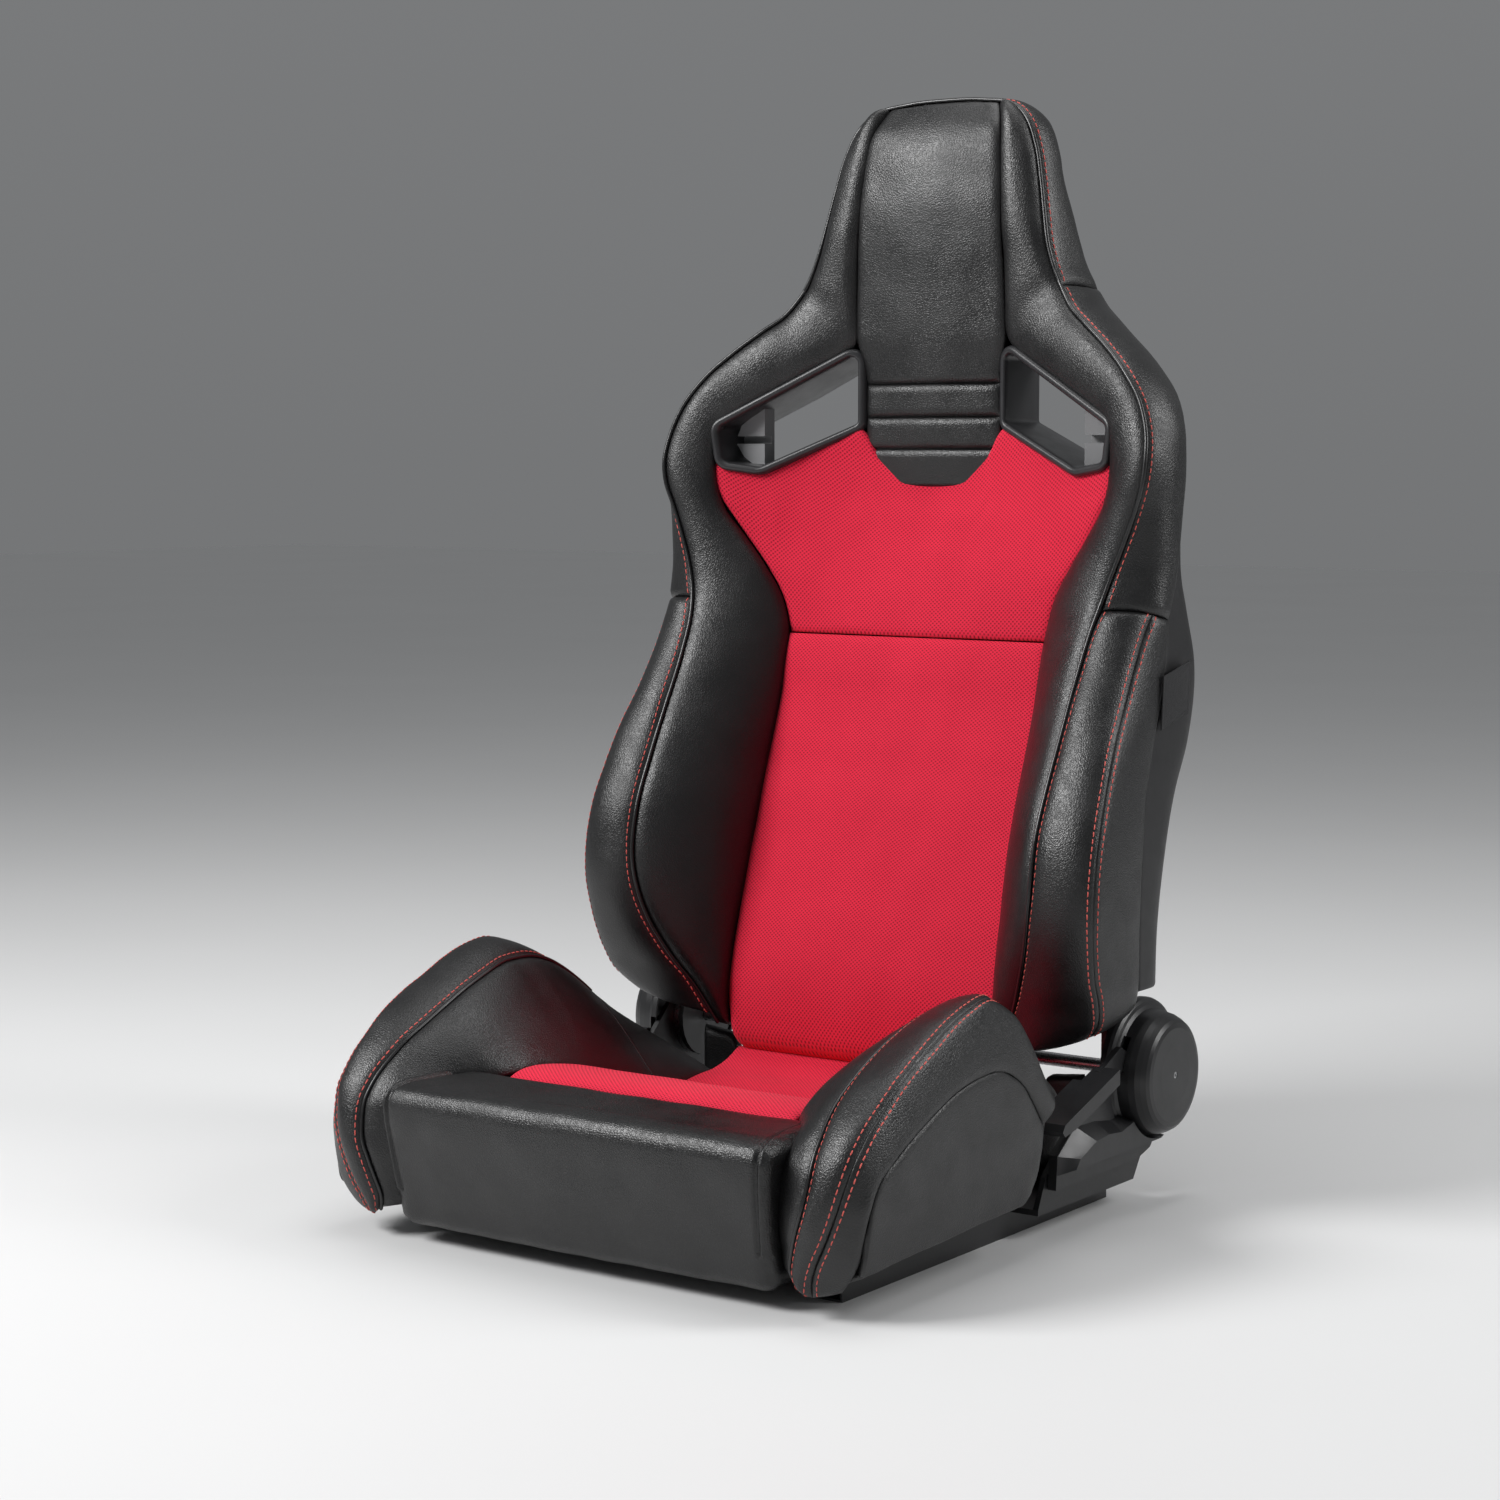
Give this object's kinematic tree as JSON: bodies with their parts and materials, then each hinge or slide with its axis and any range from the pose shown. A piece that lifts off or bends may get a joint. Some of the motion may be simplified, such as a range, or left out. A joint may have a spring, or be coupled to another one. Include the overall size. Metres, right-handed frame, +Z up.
{
  "type": "racing seat",
  "caption": "Reclining sport bucket seat with red woven centre, black vinyl bolsters, integral headrest, harness openings and a side release lever.",
  "frame": {"origin": "centre of the four floor bolts, on the underside of the rails", "axes": "+Z up, the seat faces -Y, +X is the sitter's left side, where the release lever is"},
  "size_m": [0.556, 0.599, 0.968],
  "materials": {
    "vinyl": "fine grained vinyl, soft sheen",
    "red_fabric": "diagonal weave",
    "foam": "moulded foam",
    "liner_cloth": "woven",
    "frame_steel": "black powder coat",
    "zinc_steel": "zinc plated",
    "spring_steel": "oiled",
    "trim_plastic": "fine textured",
    "shell_plastic": "grained",
    "retainer_plastic": "satin"
  },
  "bodies": {
    "seat_base": {"seat_rail_left": "frame_steel", "seat_rail_right": "frame_steel", "mount_bosses": "zinc_steel", "cushion_frame_tube": "frame_steel", "rear_cross_tube": "frame_steel", "seat_spring_1": "spring_steel", "seat_spring_2": "spring_steel", "seat_spring_3": "spring_steel", "seat_spring_clips": "zinc_steel", "seat_underliner": "liner_cloth", "cushion_front_roll": "vinyl", "cushion_insert": "red_fabric", "cushion_foam": "foam", "thigh_bolster_left": "vinyl", "thigh_bolster_right": "vinyl", "thigh_side_panel_left": "vinyl", "thigh_side_panel_right": "vinyl", "recliner_bracket_left": "frame_steel", "recliner_bracket_right": "frame_steel", "recliner_guide_left": "zinc_steel", "recliner_guide_right": "zinc_steel", "recline_spring_left": "spring_steel", "recline_spring_right": "spring_steel", "bracket_bolts": "zinc_steel", "recliner_cap_left": "trim_plastic", "recliner_cap_right": "trim_plastic", "recliner_trim_left": "trim_plastic", "recliner_trim_right": "trim_plastic", "cap_screws": "zinc_steel"},
    "backrest": {"recliner_arm_left": "frame_steel", "recliner_arm_right": "frame_steel", "recliner_ring_left": "zinc_steel", "recliner_ring_right": "zinc_steel", "backrest_hoop": "frame_steel", "backrest_lower_bar": "frame_steel", "backrest_upper_bar": "frame_steel", "backrest_spring_1": "spring_steel", "backrest_spring_2": "spring_steel", "backrest_spring_3": "spring_steel", "backrest_spring_clips": "zinc_steel", "backrest_insert_lower": "red_fabric", "backrest_insert_upper": "red_fabric", "backrest_bolster_left": "vinyl", "backrest_bolster_right": "vinyl", "shoulder_wing_left": "vinyl", "shoulder_wing_right": "vinyl", "neck_pad": "vinyl", "headrest_pad": "vinyl", "rear_shell": "shell_plastic", "harness_bezel_left": "trim_plastic", "harness_bezel_right": "trim_plastic", "belt_retainer_left": "retainer_plastic", "belt_retainer_right": "retainer_plastic", "side_tag": "liner_cloth"},
    "recline_lever": {"release_shaft": "zinc_steel", "release_cams": "zinc_steel", "lever_plate": "frame_steel", "lever_grip": "trim_plastic"},
    "pawls_up": {"pawls_upper": "zinc_steel"},
    "pawls_down": {"pawls_lower": "zinc_steel"}
  },
  "joints": [
    {"name": "recline", "type": "hinge", "parent": "seat_base", "child": "backrest", "pos_m": [0, 0.243, 0.115], "axis": [1, 0, 0], "range_deg": [-60, 15]},
    {"name": "lever_lift", "type": "hinge", "parent": "seat_base", "child": "recline_lever", "pos_m": [0, 0.243, 0.115], "axis": [1, 0, 0], "range_deg": [-12, 0], "stiffness_Nm_per_rad": 1.5, "springref_deg": 5.73},
    {"name": "pawls_up_slide", "type": "slide", "parent": "seat_base", "child": "pawls_up", "axis": [0, 0, 1], "range_m": [-0.0025, 0]},
    {"name": "pawls_down_slide", "type": "slide", "parent": "seat_base", "child": "pawls_down", "axis": [0, 0, 1], "range_m": [0, 0.0025]}
  ],
  "couplings": [
    {"joint": "pawls_up_slide", "follows": "lever_lift", "m_per_rad": 0.011937},
    {"joint": "pawls_down_slide", "follows": "lever_lift", "m_per_rad": -0.011937}
  ]
}
